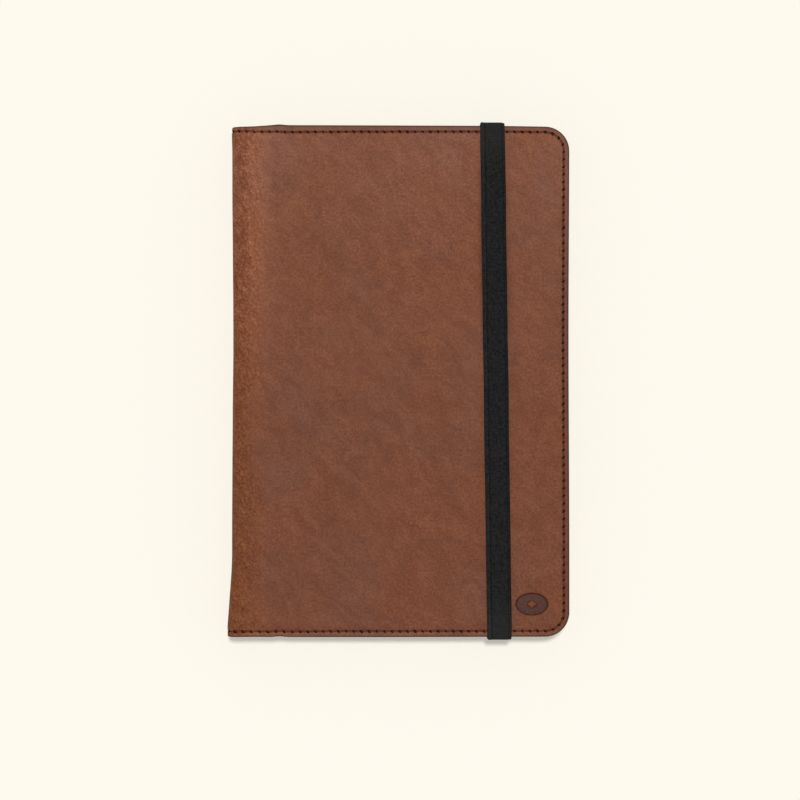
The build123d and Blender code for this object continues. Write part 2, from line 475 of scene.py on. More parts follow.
strap = {
    "thick": 1.2 * mm,
    "bend": 1.7 * mm,
    "fromFoot": 1.7 * mm,
    "edge": 0.45 * mm,
    "leftLine": 2.0 * mm,
    "rightLine": 1.25 * mm,
    "lineDeep": 0.14 * mm,
    "relaxed": 0.236,
}

leatherLook = {
    "brown": (0.178, 0.0535, 0.0215),
    "dark": (0.138, 0.040, 0.0165),
    "light": (0.215, 0.070, 0.033),
    "orange": (0.205, 0.0575, 0.0165),
    "rosy": (0.205, 0.070, 0.038),
    "mauve": (0.166, 0.062, 0.037),
    "russet": (0.222, 0.0585, 0.0225),
    "burnt": (0.030, 0.010, 0.006),
    "pressed": (0.052, 0.020, 0.016),
    "roughness": 0.62,
}
# how fine each pattern of the leather is, in features to the metre
leatherScale = {
    "clouds": 17,
    "tint": 33,
    "patches": 60,
    "strokes": 210,
    "speckle": 980,
    "dust": 2100,
    "veins": 48,
    "veinPlaces": 27,
    "fineVeins": 150,
    "pits": 640,
    "grain": 1150,
    "crinkle": 660,
    "pebble": 560,
}


def leatherPaint(name, shade=1.0, outer=True, marked=False):
    paint = Paint(name, Specular_IOR_Level=0.25, IOR=1.45)
    x, y, z = paint.axes()
    inset = paint.axes(paint.add("ShaderNodeUVMap", {"uv_map": "seam"}))[0]

    # broad clouds, patches, short strokes of the fibre, then the speckle of the grain
    slanting = paint.stretched((1.7, 1.0, 1.0), (0.0, 0.0, -0.8))
    clouds = paint.spot(leatherScale["clouds"], 2.5, 0.55, 0.3)
    patches = paint.spot(leatherScale["patches"], 5, 0.6, 0.6)
    strokes = paint.spot(leatherScale["strokes"], 3, 0.6, 0.8, slanting)
    speckle = paint.spot(leatherScale["speckle"], 3, 0.7, 0.3)
    dust = paint.spot(leatherScale["dust"], 2, 0.6)
    tone = clouds.ramp(0.3, 0.7) * 0.5 + patches.ramp(0.3, 0.7) * 0.5
    colour = paint.mix(tone, leatherLook["dark"], leatherLook["light"])
    colour = paint.mix(0.5, colour, leatherLook["brown"])
    headSide = y.ramp(55 * mm, 112 * mm)
    upper = y.ramp(-45 * mm, 60 * mm)
    colour = paint.mix(headSide * 0.6, colour, leatherLook["rosy"])
    elsewhere = paint.stretched((1.0, 1.0, 1.0), (0.5, 0.8, 0.3))
    tint = paint.spot(leatherScale["tint"], 3, 0.6, place=elsewhere)
    colour = paint.mix(tint.ramp(0.42, 0.68) * 0.36, colour, leatherLook["orange"])
    colour = paint.mix(tint.ramp(0.52, 0.3) * 0.3, colour, leatherLook["mauve"])

    # fine crooked veins, only here and there
    bent = paint.swirled(60.0, 3.0, 0.022)
    apart = paint.stretched((1.0, 1.0, 1.0), (0.9, 0.2, 0.6))
    seldom = paint.spot(leatherScale["veinPlaces"], 2, place=apart)
    veins = paint.cells(leatherScale["veins"], "DISTANCE_TO_EDGE", bent).ramp(0.045, 0.0)
    veins = veins * seldom.ramp(0.56, 0.68)
    fine = paint.cells(leatherScale["fineVeins"], "DISTANCE_TO_EDGE", bent).ramp(0.09, 0.0)
    fine = fine * patches.ramp(0.5, 0.64)
    light = speckle.ramp(0.24, 0.76, (0.72, 1.27)) * dust.ramp(0.2, 0.8, (0.86, 1.14))
    # the fibre strokes vary the tone, and painted light makes the leather lighter towards the head
    light = light * strokes.ramp(0.25, 0.75, (0.88, 1.12)) * y.ramp(-60 * mm, 118 * mm, (0.985, 1.11))
    pits = paint.cells(leatherScale["pits"]).ramp(0.2, 0.04) * strokes.ramp(0.4, 0.6)
    light = light * (1 - pits * 0.3) * (1 - veins * 0.13 - fine * 0.07) * shade

    # painted shade on the edge strip outside the seam, a painted highlight on that strip along the foot, and
    # its burnished rim
    strip = inset.ramp(2.9 * mm, 2.1 * mm)
    troughShade = (inset - seamInset).size().ramp(0.9 * mm, 0.1 * mm)
    rim = inset.ramp(0.85 * mm, 0.2 * mm) * speckle.ramp(0.1, 0.6, (0.6, 1.0))
    footSide = y.ramp(-107 * mm, -108.5 * mm)
    shadedStrip = strip * (1 - footSide) * 0.2
    litFootStrip = strip * footSide * patches.ramp(0.35, 0.65, (0.0, 0.22))
    light = light * (1 - shadedStrip + litFootStrip)
    # painted shade along the sunk seam groove
    light = light * (1 - troughShade * 0.1)
    wrinkle = None
    if outer:
        # pebbled and crinkled where it bends round the spine, with painted highlight on the crinkle's ridges
        # and painted shade in its creases, then a pale band along the fold
        leaning = paint.stretched((1.0, 2.1, 1.0), (0.0, 0.0, 0.45))
        crinkle = paint.spot(leatherScale["crinkle"], 2, 0.6, 0.7, leaning)
        rucks = paint.stretched((1.0, 1.8, 1.0), (0.0, 0.0, 0.4), paint.swirled(330.0, 2.0, 0.0022))
        pebble = paint.cells(leatherScale["pebble"], "DISTANCE_TO_EDGE", rucks)
        reachIn = patches.ramp(0.3, 0.7, (-2.0 * mm, 3.0 * mm)) + upper * 1.5 * mm
        atSpine = (x - reachIn).ramp(foldX + 11 * mm, foldX - 1 * mm)
        folds = crinkle.ramp(0.34, 0.66)
        grooves = pebble.ramp(0.16, 0.0)
        depth = atSpine * upper.maths("MULTIPLY_ADD", 0.5, 0.5)
        light = light * (1 + depth * (folds * 0.38 + 0.01)) * (1 - depth * grooves * 0.13)
        pale = x.ramp(foldX + 0.5 * mm, foldX + 5 * mm) * x.ramp(foldX + 17 * mm, foldX + 9 * mm)
        light = light * (1 + pale * upper.ramp(0.0, 1.0, (0.02, 0.17)))
        warmth = x.ramp(foldX + 14 * mm, foldX - 2 * mm) * (0.62 - upper * 0.42)
        colour = paint.mix(warmth, colour, leatherLook["orange"])
        reddish = x.ramp(foldX + 17 * mm, foldX + 2 * mm) * upper
        colour = paint.mix(reddish * 0.5, colour, leatherLook["russet"])
        wrinkle = (folds * 0.8 - grooves * 0.5) * atSpine
    if marked:
        dx = (x - mark["x"]) / (mark["long"] / 2)
        dy = (y - mark["y"]) / (mark["high"] / 2)
        oval = dx * dx + dy * dy
        far = (x - mark["x"]).size() / 1.25 + (y - mark["y"]).size()
        outside = far.ramp(mark["diamond"] / 2 - 0.3 * mm, mark["diamond"] / 2 + 0.3 * mm)
        pressed = oval.ramp(1.06, 0.96) * outside * z.ramp(midZ, topZ - 2 * mm)
        # painted shade along the walls of the pressed oval and the rim of the diamond
        rind = (oval.power(0.5) - 0.95).size().ramp(0.075, 0.02)
        rind = rind + (far - mark["diamond"] / 2).size().ramp(0.5 * mm, 0.1 * mm)
        colour = paint.mix(pressed * 0.78, colour, leatherLook["pressed"])
        light = light * (1 - rind * pressed * 0.5)
        # painted shade of the strap beside it on the leather, strongest along its upper half
        lean = (headY - y) * ((strapAtFoot - strapAtHead) / (2 * headY))
        beside = x - (strapAtHead - strapWidth / 2) - lean
        upperHalf = y.ramp(98 * mm, 82 * mm) * y.ramp(6 * mm, 26 * mm)
        leftStrapShade = beside.ramp(-2.2 * mm, 0.6 * mm) * beside.ramp(6 * mm, 3 * mm) * 0.3
        rightStrapShade = (beside - strapWidth).ramp(3.4 * mm, -0.4 * mm) * beside.ramp(4 * mm, 6 * mm) * 0.15
        light = light * (1 - (leftStrapShade + rightStrapShade) * (upperHalf * 0.85 + 0.15))
    # the grain's light and dark are partly its own tone and partly painted highlight and painted shade of its
    # relief: pale spots go less saturated, dark spots deeper in colour
    relief = paint.add("ShaderNodeCombineColor", None, {0: light, 1: light.power(1.45), 2: light.power(1.85)})
    colour = paint.mix(1.0, colour, relief, "MULTIPLY")
    paint.set("Base Color", paint.mix(rim * 0.85, colour, leatherLook["burnt"]))
    rough = speckle.ramp(0.2, 0.8, (-0.05, 0.06)) + clouds.ramp(0.3, 0.7, (-0.04, 0.05))
    paint.set("Roughness", rough + leatherLook["roughness"] - strip * 0.08)

    grain = paint.cells(leatherScale["grain"], "SMOOTH_F1") * 0.6 + speckle * 0.7 - pits * 0.4
    normal = paint.bump(grain, 0.07 * mm, 0.7)
    normal = paint.bump(strokes + patches, 0.3 * mm, 0.3, normal)
    normal = paint.bump(1 - veins * 0.8 - fine * 0.6, 0.1 * mm, 0.8, normal)
    if wrinkle:
        normal = paint.bump(wrinkle, 0.4 * mm, 0.9, normal)
    paint.set("Normal", normal)
    return paint.material


def edgePaint():
    # the cut edge: dark, sealed with wax, with the two layers just showing
    paint = Paint("cutEdge", Specular_IOR_Level=0.5)
    fibre = paint.spot(700, 4, 0.7, place=paint.stretched((4.0, 4.0, 0.62)))
    colour = paint.mix(fibre.ramp(0.3, 0.7), (0.030, 0.012, 0.009), (0.085, 0.032, 0.020))
    paint.set("Base Color", colour)
    paint.set("Roughness", fibre.ramp(0.3, 0.8, (0.36, 0.6)))
    paint.set("Normal", paint.bump(fibre, 0.12 * mm, 0.6))
    return paint.material


def fleshPaint():
    paint = Paint("fleshSide", Specular_IOR_Level=0.2, Sheen_Weight=0.1)
    nap = paint.spot(520, 5, 0.7)
    colour = paint.mix(nap.ramp(0.25, 0.75), (0.15, 0.062, 0.036), (0.24, 0.115, 0.070))
    colour = paint.mix(paint.spot(60, 3).ramp(0.35, 0.65) * 0.4, colour, (0.12, 0.048, 0.030))
    paint.set("Base Color", colour)
    paint.set("Roughness", nap.ramp(0.2, 0.8, (0.8, 0.95)))
    paint.set("Normal", paint.bump(nap, 0.15 * mm, 0.7))
    return paint.material


def holeShadePaint():
    # near-black painted shade for the inside of the needle holes
    paint = Paint("needleHoleShade", Specular_IOR_Level=0.1)
    fibre = paint.spot(1400, 2)
    paint.set("Base Color", paint.mix(fibre, (0.006, 0.003, 0.002), (0.016, 0.007, 0.005)))
    paint.set("Roughness", fibre.ramp(0.2, 0.8, (0.8, 0.95)))
    return paint.material


def threadPaint():
    paint = Paint("waxedThread", Specular_IOR_Level=0.3)
    run, side = paint.axes(paint.add("ShaderNodeUVMap", {"uv_map": "seam"}))[:2]
    twist = (run * (2 * math.pi / (0.7 * mm)) + side * 2 * math.pi).maths("SINE")
    fibre = paint.spot(1800, 2)
    colour = paint.mix(fibre.ramp(0.3, 0.7), (0.050, 0.019, 0.010), (0.110, 0.042, 0.022))
    paint.set("Base Color", colour)
    paint.set("Roughness", fibre.ramp(0.2, 0.8, (0.5, 0.68)))
    paint.set("Normal", paint.bump(twist * 0.5 + fibre * 0.5, 0.06 * mm, 0.7))
    return paint.material


elasticLook = {
    "dark": (0.0036, 0.0038, 0.0040),
    "light": (0.0235, 0.0236, 0.0235),
    "rubbed": (0.028, 0.028, 0.028),
    "weft": 0.62 * mm,
    "core": 0.86 * mm,
}


def elasticPaint():
    # woven elastic: ribs of the weft over rubber cores, and firmer selvedges
    paint = Paint("wovenElastic", Specular_IOR_Level=0.08, Sheen_Weight=0.03, Sheen_Roughness=0.6)
    along, across = paint.axes(paint.add("ShaderNodeUVMap", {"uv_map": "seam"}))[:2]
    turn = 2 * math.pi
    weft = (along * (turn / elasticLook["weft"])).maths("SINE")
    cores = (across * (turn / elasticLook["core"])).maths("SINE")
    knots = (along * (turn / elasticLook["weft"] / 2) + cores * 1.6).maths("SINE")
    fluff = paint.spot(880, 4, 0.8)
    worn = paint.spot(260, 4, 0.65, 0.5)
    y = paint.axes()[1]
    colour = paint.mix(fluff.ramp(0.28, 0.72), elasticLook["dark"], elasticLook["light"])
    rubbed = worn.ramp(0.45, 0.75) * 0.25 + y.size().ramp(88 * mm, 108 * mm) * 0.45
    colour = paint.mix(rubbed, colour, elasticLook["rubbed"])
    leftLine = (across + strapWidth / 2 - strap["leftLine"]).size().ramp(0.42 * mm, 0.12 * mm)
    leftStripHighlight = across.ramp(strap["leftLine"] - strapWidth / 2, strap["leftLine"] - strapWidth / 2 - 0.5 * mm)
    rightLine = (strapWidth / 2 - strap["rightLine"] - across).size().ramp(0.4 * mm, 0.1 * mm)
    rightStrip = across.ramp(strapWidth / 2 - strap["rightLine"], strapWidth / 2)
    shade = weft * 0.1 + knots * 0.08 + cores * 0.05 + 0.95
    beadHighlight = (across + strapWidth / 2 - strap["leftLine"] + 0.75 * mm).size().ramp(0.4 * mm, 0.1 * mm)
    shade = shade * (1 - leftLine * 0.42 - rightLine * 0.34 - rightStrip * 0.2)
    # painted highlights along the left selvedge strip and on its raised bead
    shade = shade * (1 + leftStripHighlight * 0.1 + beadHighlight * 0.16)
    grey = paint.add("ShaderNodeCombineColor", None, {0: shade, 1: shade, 2: shade})
    paint.set("Base Color", paint.mix(1.0, colour, grey, "MULTIPLY"))
    paint.set("Roughness", fluff.ramp(0.2, 0.8, (0.82, 0.96)))
    normal = paint.bump(weft * 0.35 + knots * 0.25 + cores * 0.3, 0.06 * mm, 0.9)
    paint.set("Normal", paint.bump(fluff + worn, 0.09 * mm, 0.8, normal))
    return paint.material


def paperPaint(name, low, high, scale=1300):
    paint = Paint(name, Specular_IOR_Level=0.25)
    pulp = paint.spot(scale, 5, 0.65)
    sheets = paint.spot(9, 3, 0.5, place=paint.stretched((5.0, 5.0, 0.0026)))
    colour = paint.mix(pulp.ramp(0.3, 0.7), low, high)
    colour = paint.mix(sheets.ramp(0.52, 0.75) * 0.35, colour, [value * 0.62 for value in low])
    paint.set("Base Color", colour)
    paint.set("Roughness", pulp.ramp(0.2, 0.8, (0.78, 0.92)))
    paint.set("Normal", paint.bump(pulp * 0.5 + sheets * 0.5, 0.05 * mm, 0.5))
    return paint.material


def clothPaint(name, low, high, pitch):
    paint = Paint(name, Specular_IOR_Level=0.3, Sheen_Weight=0.08)
    x, y, z = paint.axes()
    turn = 2 * math.pi / pitch
    weave = (y * turn).maths("SINE") * ((x + z) * turn).maths("SINE")
    fibre = paint.spot(900, 3)
    colour = paint.mix(fibre * 0.6 + weave * 0.25, low, high)
    paint.set("Base Color", colour)
    paint.set("Roughness", fibre.ramp(0.2, 0.8, (0.62, 0.8)))
    paint.set("Normal", paint.bump(weave * 0.5 + fibre * 0.5, 0.05 * mm, 0.6))
    return paint.material


def floorPaint():
    # partly its own light, so that shadows on it stay as faint as on a light table
    glow = {"Emission_Color": (0.392, 0.380, 0.346, 1), "Emission_Strength": 1.0}
    paint = Paint("paleFloor", Specular_IOR_Level=0.0, Roughness=0.9, **glow)
    cloud = paint.spot(3, 2) * 0.1
    paint.set("Base Color", paint.mix(cloud, (0.628, 0.606, 0.547), (0.622, 0.600, 0.541)))
    return paint.material


looks = {
    "front": leatherPaint("frontLeather", marked=True),
    "back": leatherPaint("backLeather"),
    "sleeve": leatherPaint("sleeveLeather", shade=0.94, outer=False),
    "edge": edgePaint(),
    "flesh": fleshPaint(),
    "hole": holeShadePaint(),
    "thread": threadPaint(),
    "elastic": elasticPaint(),
    "pages": paperPaint("pagePaper", (0.70, 0.63, 0.48), (0.76, 0.69, 0.54)),
    "endpaper": paperPaint("endpaper", (0.60, 0.53, 0.40), (0.69, 0.62, 0.48), 900),
    "board": clothPaint("boardCloth", (0.012, 0.011, 0.011), (0.035, 0.033, 0.032), 0.5 * mm),
    "binding": clothPaint("bindingCloth", (0.22, 0.18, 0.13), (0.42, 0.36, 0.27), 0.7 * mm),
}
print("materials ready")


def useLooks(piece, *names):
    piece.data.materials.clear()
    for name in names:
        piece.data.materials.append(looks[name])


def makeHoles(piece, front):
    # slanted awl holes, cut one by one through the grain side
    deselect()
    bpy.ops.mesh.primitive_cylinder_add(vertices=8, radius=0.5, depth=1, location=(0, 0, 0))
    awl = bpy.context.object
    shape = points(awl)
    ct, st = math.cos(seam["holeTurn"]), math.sin(seam["holeTurn"])
    p, q = shape[:, 0] * seam["holeLong"], shape[:, 1] * seam["holeWide"]
    blade = np.stack([p * ct - q * st, p * st + q * ct], 1)
    deep, above = seam["holeDeep"], seam["holeAbove"]
    height = shape[:, 2] * (deep + above) - (deep - above) / 2 - seam["holeSunk"]
    for one, run in zip(withCopies(awl, stitchCount), stations()):
        slip = 0.08 * mm * noise.noise(Vector((run * 900, 2.0, 0.5)))
        size = 1 + 0.18 * noise.noise(Vector((run * 700, 7.0, 0.5)))
        along, across = onSeam(run + blade[:, 0] * size, blade[:, 1] * size + slip)
        setPoints(one, wrap(along, across, height, front))
        one.select_set(True)
    bpy.context.view_layer.objects.active = awl
    bpy.ops.object.join()
    facesOut()
    # the walls of the holes take the leather's fourth finish, a near-black painted shade
    useLooks(awl, *(["hole"] * 4))
    awl.data.polygons.foreach_set("material_index", [3] * len(awl.data.polygons))
    cut = piece.modifiers.new("holes", "BOOLEAN")
    cut.operation = "DIFFERENCE"
    cut.object = awl
    cut.solver = "MANIFOLD"
    applyAll(piece)
    bpy.data.objects.remove(awl)


def makeThread(name, front, lift):
    # one stitch is modelled, then copied between each pair of holes
    deselect()
    bpy.ops.mesh.primitive_cylinder_add(vertices=6, radius=0.5, depth=1, rotation=(0, math.pi / 2, 0))
    stitch = bpy.context.object
    bpy.ops.object.transform_apply(rotation=True)
    pickEdges(stitch, lambda a, b: abs(a.x - b.x) > 0.5)
    bpy.ops.object.mode_set(mode="EDIT")
    bpy.ops.mesh.subdivide(number_cuts=6)
    bpy.ops.object.mode_set(mode="OBJECT")
    shape = points(stitch)
    turn = np.arctan2(shape[:, 2], shape[:, 1]) / (2 * math.pi)
    p = shape[:, 0] * (stitchStep - 0.1 * mm)
    reach = np.abs(shape[:, 0]) * 2
    slim = 1 - 0.35 * reach ** 4
    q = shape[:, 1] * seam["thread"] * slim + shape[:, 0] * 0.3 * mm
    h = shape[:, 2] * seam["thread"] * 0.8 * slim - seam["sunk"] - seam["dive"] * smooth(0.36, 0.85, reach)
    for one, run in zip(withCopies(stitch, stitchCount - 1), stations()):
        middle = run + stitchStep / 2
        wobble = 0.06 * mm * noise.noise(Vector((run * 800, 4.0, 0.5)))
        along, across = onSeam(middle + p, q + wobble)
        setPoints(one, lift(along, across, h, front))
        seamMap(one, p + run, turn)
        one.select_set(True)
    bpy.context.view_layer.objects.active = stitch
    bpy.ops.object.join()
    stitch.name = name
    useLooks(stitch, "thread")
    facesOut()
    finishMesh(stitch, math.radians(60))
    return stitch


def outerLeather(name, front):
    edge = edgeInsets
    faceColumns = [spread(0, spineHalf, 1.05 * mm), spread(spineHalf, faceStart, 0.65 * mm)]
    rows = [edge - headY, headY - edge]
    last = edge[-1]
    if front:
        left = mark["x"] - foldX + faceStart - mark["long"] / 2 - 1 * mm
        right = sheetLength - last
        low = mark["y"] - mark["high"] / 2 - 0.8 * mm
        high = mark["y"] + mark["high"] / 2 + 0.8 * mm
        faceColumns += [spread(faceStart, left, 1.75 * mm), spread(left, right, 0.42 * mm)]
        rows += [spread(low, high, 0.42 * mm), spread(high, headY - last, 1.9 * mm)]
    else:
        faceColumns += [spread(faceStart, sheetLength - last, 2.2 * mm)]
        rows += [spread(last - headY, headY - last, 2.4 * mm)]
    columns = joined(*faceColumns, sheetLength - edge)
    rows = joined(*rows)
    piece, along, across = gridSheet(name, columns, rows)
    useLooks(piece, "front" if front else "back", "flesh", "edge", "hole")
    along, across, inset, run = sewnSheet(along, across, sheetLength)
    groove = np.exp(-(((inset - seamInset) / leatherCase["grooveHalf"]) ** 2))
    lift = faceLift(along, across, inset, front) - leatherCase["grooveDeep"] * groove
    if front:
        x = along - faceStart + foldX
        lift -= mark["deep"] * markPress(x, across) * (along > faceStart)
        besideStrap = np.abs(x - strapCentre(across)) - strapWidth / 2
        underStrap = 1 - smooth(-0.5 * mm, 3.5 * mm, besideStrap)
        lift -= 0.1 * mm * underStrap * (along > faceStart)
    seamMap(piece, inset, run)
    inner = -leatherThick - edgeDrop(inset, along)
    thicken(piece, wrap(along, across, lift, front), wrap(along, across, inner, front))
    makeHoles(piece, front)
    finishMesh(piece)
    return piece


def sleevePlace(x, y, depth, front):
    x, y = warp(x, y, 1)
    return np.stack([x, y, topZ - depth if front else depth], 1)


sleeve = {
    "rimTop": 2.8 * mm,
    "rimUnder": 1.6 * mm,
    "pocketTop": sleeveHigh.z,
    "wallFrom": 3.9 * mm,
    "wallTo": 5.5 * mm,
    "tailHump": 0.9 * mm,
}


def sleeveLeather(name, front):
    edge = edgeInsets
    length = foreX - sleeveLow.x
    last = edge[-1]
    endColumns = np.array([0, 0.25, 0.7]) * mm
    columns = joined(endColumns, spread(0.7 * mm, length - last, 2.4 * mm), length - edge)
    rows = joined(edge - headY, spread(last - headY, headY - last, 2.6 * mm), headY - edge)
    piece, along, across = gridSheet(name, columns, rows)
    useLooks(piece, "sleeve", "flesh", "edge")
    along, across, inset, run = sewnSheet(along, across, length)
    x = along + sleeveLow.x
    raised = smooth(sleeve["wallFrom"], sleeve["wallTo"], inset)
    drop = edgeDrop(inset, sheetLength)
    rise = sleeve["pocketTop"] - sleeve["rimTop"]
    top = sleeve["rimTop"] + drop * (1 - raised) + rise * raised
    under = sleeve["rimUnder"] + drop * (1 - raised) + rise * raised
    groove = np.exp(-(((inset - seamInset) / leatherCase["grooveHalf"]) ** 2))
    top -= leatherCase["grooveDeep"] * 0.6 * groove
    top -= 0.12 * mm * (1 + rolling(x, across, 33 * mm, 4.4)) * raised
    top -= 0.3 * mm * np.clip(1 - inset / (0.3 * mm), 0, 1) ** 2
    top -= 0.35 * mm * np.clip(1 - along / (0.5 * mm), 0, 1) ** 2
    if not front:
        beside = np.abs(x - np.where(across > 0, strapAtHead, strapAtFoot))
        hump = 1 - smooth(strapWidth / 2, strapWidth / 2 + 1.6 * mm, beside)
        hump *= (1 - raised) * (inset < 6 * mm)
        top += sleeve["tailHump"] * hump
        under += sleeve["tailHump"] * hump
    seamMap(piece, inset, run)
    thicken(piece, sleevePlace(x, across, top, front), sleevePlace(x, across, under, front))
    finishMesh(piece)
    return piece


def grainLift(along, across, h, front):
    return wrap(along, across, h - edgeDrop(seamInset, along), front)


def fleshLift(along, across, h, front):
    # the same stitches on the inner side: on the sleeve, or past its end on the leather itself
    onSleeve = smooth(sleeveLow.x - 0.4 * mm, sleeveLow.x + 0.4 * mm, along - faceStart + foldX)
    depth = leatherThick + edgeDrop(seamInset, along) + onSleeve * (sleeve["rimTop"] - sleeve["rimUnder"])
    return wrap(along, across, -depth - h - seam["proud"], front)


def bend(piece):
    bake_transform(piece)


for front, side in ((True, "front"), (False, "back")):
    leather = outerLeather(side + "_case_leather", front)
    replaced = [side + "_outer_leather", side + "_fold_leather"]
    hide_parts(*(replaced + (["spine_outer_leather"] if front else [])))
    bend(leather)

    pocket = sleeveLeather(side + "_inner_sleeve", front)
    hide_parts(side + "_sleeve_leather")
    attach(pocket, side + "_cover")

    outerThread = makeThread(side + "_outer_stitches", front, grainLift)
    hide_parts(side + "_seam_thread", *(["spine_seam_thread"] if front else []))
    bend(outerThread)
    innerThread = makeThread(side + "_inner_stitches", front, fleshLift)
    bend(innerThread)
    print(side, "leather sewn", len(leather.data.polygons))


def strapRoute(s, depth):
    # up the head side, over the front and down the foot side, at a depth under the outer face
    radius, outY, outZ = strap["bend"], strapHigh.y, strapHigh.z
    leg = outZ - radius - strap["fromFoot"]
    quarter = radius * math.pi / 2
    flat = 2 * (outY - radius)
    total = 2 * (leg + quarter) + flat
    t = np.where(s < total / 2, s, total - s)
    turn = np.clip((t - leg) / radius, 0, math.pi / 2)
    r = radius - depth
    y = outY - radius + r * np.cos(turn) - np.maximum(t - leg - quarter, 0)
    z = strap["fromFoot"] + np.minimum(t, leg) + r * np.sin(turn)
    return np.where(s < total / 2, y, -y), z, total


def elasticStrap():
    half = strapWidth / 2
    total = strapRoute(np.zeros(1), 0)[2]
    leg = strapHigh.z - strap["bend"] - strap["fromFoot"]
    quarter = strap["bend"] * math.pi / 2
    rows = joined(
        spread(0, leg, 1.6 * mm),
        spread(leg, leg + quarter, 0.34 * mm),
        spread(leg + quarter, total - leg - quarter, 2.4 * mm),
        spread(total - leg - quarter, total - leg, 0.34 * mm),
        spread(total - leg, total, 1.6 * mm),
    )
    edge = np.array([0, 0.06, 0.16, 0.3, 0.45, 0.7]) * mm
    columns = joined(edge - half, spread(0.7 * mm - half, half - 0.7 * mm, 0.3 * mm), half - edge)
    piece, across, along = gridSheet("elastic_band", columns, rows)
    useLooks(piece, "elastic", "elastic", "elastic")
    left = half + across
    right = half - across
    inset = np.minimum(left, right)
    # over the bends its side edges are drawn down, more so at the right of the head
    t = np.minimum(along, total - along)
    bent = smooth(leg + quarter + 1.2 * mm, leg + quarter * 0.6, t)
    atHead = along < total / 2
    soft = np.where(across > 0, np.where(atHead, 1.9, 1.1), np.where(atHead, 0.6, 1.1)) * mm
    reach = strap["edge"] + (soft - strap["edge"]) * bent
    rim = np.clip(1 - inset / reach, 0, 1)
    depth = (0.42 * mm + 0.42 * mm * bent) * (1 - np.sqrt(1 - rim * rim))
    for place in (left - strap["leftLine"], right - strap["rightLine"]):
        depth += strap["lineDeep"] * np.exp(-((place / (0.17 * mm)) ** 2))
    depth -= 0.10 * mm * (left < strap["leftLine"]) * np.exp(-(((left - 1.2 * mm) / (0.7 * mm)) ** 2))
    depth += 0.05 * mm * (1 + np.sin(across * 2 * math.pi / (0.86 * mm))) * (inset > 0.7 * mm)
    depth += 0.03 * mm * rolling(along, across, 6 * mm, 2.2)
    y, z, _ = strapRoute(along, depth)
    yIn, zIn, _ = strapRoute(along, strap["thick"] - 0.4 * depth * (rim > 0))
    wave = 0.14 * mm * rolling(along, along * 0, 21 * mm, 6.6)
    # it draws in a little where it is pulled over the edges
    nearEdge = np.exp(-(((np.abs(y) - headY) / (5 * mm)) ** 2))
    middle = strapCentre(y) + wave
    x = middle + across * (1 - 0.012 * nearEdge)
    seamMap(piece, along, across)
    thicken(piece, np.stack([x, y, z], 1), np.stack([x, yIn, zIn], 1))
    finishMesh(piece, math.radians(50))
    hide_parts("elastic_strap")
    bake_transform(piece)
    return piece


elasticStrap()
print("strap ready")

pages = {
    "leaves": 5,
    "gap": 0.03 * mm,
    "corner": 6 * mm,
    "stray": 0.16 * mm,
}


def gathering(number):
    # a few bundles of leaves, no two cut quite level, in the place of one solid gathering
    low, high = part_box(f"page_signature_{number}")
    thick = (high.z - low.z) / pages["leaves"]
    deselect()
    bpy.ops.mesh.primitive_cube_add(size=1, location=(0, 0, 0))
    leaf = bpy.context.object
    spineEnd = low.x + (high.z - low.z) / 2
    size = Vector((high.x - spineEnd, high.y - low.y, thick - pages["gap"]))
    middle = Vector(((high.x + spineEnd) / 2, 0, low.z + thick / 2))
    setPoints(leaf, points(leaf) * np.array(size) + np.array(middle))
    pickEdges(leaf, lambda a, b: abs(a.z - b.z) > thick / 2 and a.x > middle.x)
    bpy.ops.object.mode_set(mode="EDIT")
    bpy.ops.mesh.bevel(offset=pages["corner"], segments=7, affect="EDGES")
    bpy.ops.object.mode_set(mode="OBJECT")
    shape = points(leaf)
    cut = np.where(shape[:, 0] > middle.x, 1.0, 0.0)
    bundles = withCopies(leaf, pages["leaves"])
    for i, one in enumerate(bundles):
        seed = number * 7.3 + i * 1.7
        strayX, strayY = [pages["stray"] * noise.noise(Vector((seed, k * 3.1, 0.7))) for k in range(2)]
        moved = shape + np.array([0, 0, i * thick])
        moved[:, 0] -= cut * (pages["stray"] + strayX)
        moved[:, 1] *= 1 - (pages["stray"] + strayY) / size.y * 2
        setPoints(one, moved)
    # the fold at the spine, a half round
    bpy.ops.mesh.primitive_cylinder_add(vertices=16, radius=0.5, depth=1, rotation=(math.pi / 2, 0, 0))
    fold = bpy.context.object
    bpy.ops.object.transform_apply(rotation=True)
    height = high.z - low.z
    foldSize = np.array([height, size.y - 4 * pages["stray"], height - pages["gap"]])
    setPoints(fold, points(fold) * foldSize + np.array([spineEnd + 0.05 * mm, 0, (low.z + high.z) / 2]))
    for one in bundles:
        one.select_set(True)
    bpy.context.view_layer.objects.active = leaf
    bpy.ops.object.join()
    leaf.name = f"page_gathering_{number}"
    useLooks(leaf, "pages")
    finishMesh(leaf, math.radians(30))
    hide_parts(f"page_signature_{number}")
    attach(leaf, "back_cover")


for number in range(1, 9):
    gathering(number)
print("pages ready")

hinge = {
    "thick": 0.22 * mm,
    "onBoard": 5 * mm,
    "onCard": 2.2 * mm,
    "radius": 2.32 * mm,
    "cardRadius": 1.72 * mm,
    "short": 1.5 * mm,
}


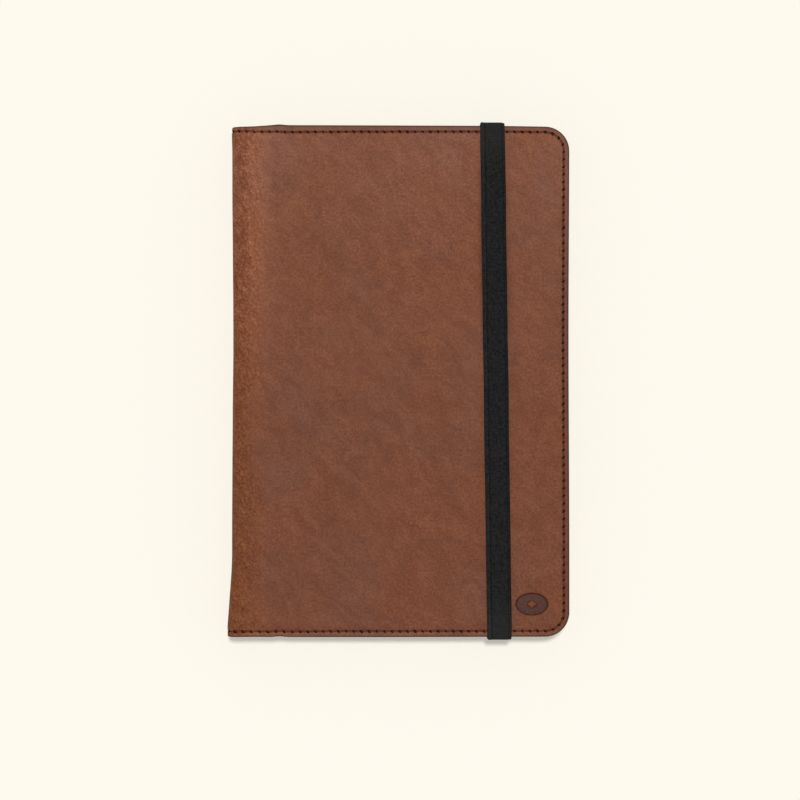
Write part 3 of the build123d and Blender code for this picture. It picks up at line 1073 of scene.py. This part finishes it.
def hingeCloth(name, front):
    # the notebook's own covering, from the board round to the spine card
    boardLow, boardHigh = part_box("notebook_front_board")
    quarter = hinge["radius"] * math.pi / 2
    columns = joined(
        spread(-hinge["onCard"], 0, 1.1 * mm),
        spread(0, quarter, 0.36 * mm),
        spread(quarter, quarter + hinge["onBoard"], 1.0 * mm),
    )
    rows = spread(boardLow.y + hinge["short"], boardHigh.y - hinge["short"], 4 * mm)
    piece, along, across = gridSheet(name, columns, rows)
    useLooks(piece, "board", "board", "board")
    turn = np.clip(along / hinge["radius"], 0, math.pi / 2)
    sides = []
    for lift in (0, -hinge["thick"]):
        r = hinge["cardRadius"] + (hinge["radius"] - hinge["cardRadius"]) * smooth(0, quarter, along) + lift
        x = foldX - r * np.cos(turn) + np.maximum(along - quarter, 0)
        z = topZ - foldRadius + r * np.sin(turn) + np.minimum(along, 0)
        z = z + 0.03 * mm * rolling(along, across, 9 * mm, 2.6) * (turn > 0)
        sides.append(np.stack([x, across, z if front else topZ - z], 1))
    thicken(piece, *sides)
    finishMesh(piece)
    bend(piece)


hingeCloth("notebook_front_hinge_cloth", True)
hingeCloth("notebook_back_hinge_cloth", False)
print("hinge cloth ready")

# nodes whose frame shape is already right get their finish here
keptFinish = {
    "notebook_back_board": "board",
    "notebook_front_board": "board",
    "notebook_spine_card": "board",
    "back_endpaper": "endpaper",
    "front_endpaper": "endpaper",
    "page_block_lining": "binding",
    "head_headband": "binding",
    "foot_headband": "binding",
    "spine_lining_leather": "sleeve",
    "strap_sewn_ends": "elastic",
}
for nodeName, look in keptFinish.items():
    useLooks(nodes[nodeName], look)
print("frame finishes set")

deselect()
bpy.ops.mesh.primitive_plane_add(size=8, location=(0, 0, 0))
floor = bpy.context.object
floor.name = "floor"
floor.data.materials.append(floorPaint())

lighting = {
    "tilt": 11.3,
    "turn": 1.5,
    "strength": 2.25,
    "softness": 6.0,
    "fill": 0.25,
    "backdrop": 0.9,
}
bpy.ops.object.light_add(type="SUN", location=(0, 0.3, 1.5))
sun = bpy.context.object
sun.rotation_euler = (math.radians(-lighting["tilt"]), math.radians(lighting["turn"]), 0)
sun.data.energy = lighting["strength"]
sun.data.angle = math.radians(lighting["softness"])
sun.data.color = (1.0, 0.995, 0.985)
world = bpy.data.worlds.new("studio")
world.use_nodes = True
air = world.node_tree
air.nodes["Background"].inputs["Color"].default_value = (1.0, 0.99, 0.97, 1)
# the far wall of the studio is pale to look at, but only fills the shadows a little
seen = air.nodes.new("ShaderNodeLightPath")
wall = air.nodes.new("ShaderNodeMath")
wall.operation = "MULTIPLY_ADD"
wall.inputs[1].default_value = lighting["backdrop"] - lighting["fill"]
wall.inputs[2].default_value = lighting["fill"]
air.links.new(seen.outputs["Is Camera Ray"], wall.inputs[0])
air.links.new(wall.outputs[0], air.nodes["Background"].inputs["Strength"])
bpy.context.scene.world = world
bpy.context.scene.view_settings.view_transform = "Standard"

shot = {"lens": 120, "sensor": 36, "wide": 0.347, "x": -0.26 * mm, "y": -8.2 * mm}
shotHeight = topZ + shot["wide"] * shot["lens"] / shot["sensor"]
bpy.ops.object.camera_add(location=(shot["x"], shot["y"], shotHeight))
camera = bpy.context.object
camera.rotation_euler = (0, 0, 0)
camera.data.lens = shot["lens"]
camera.data.sensor_width = shot["sensor"]
camera.data.clip_start = 0.01
bpy.context.scene.camera = camera
deselect()

print("scene ready")
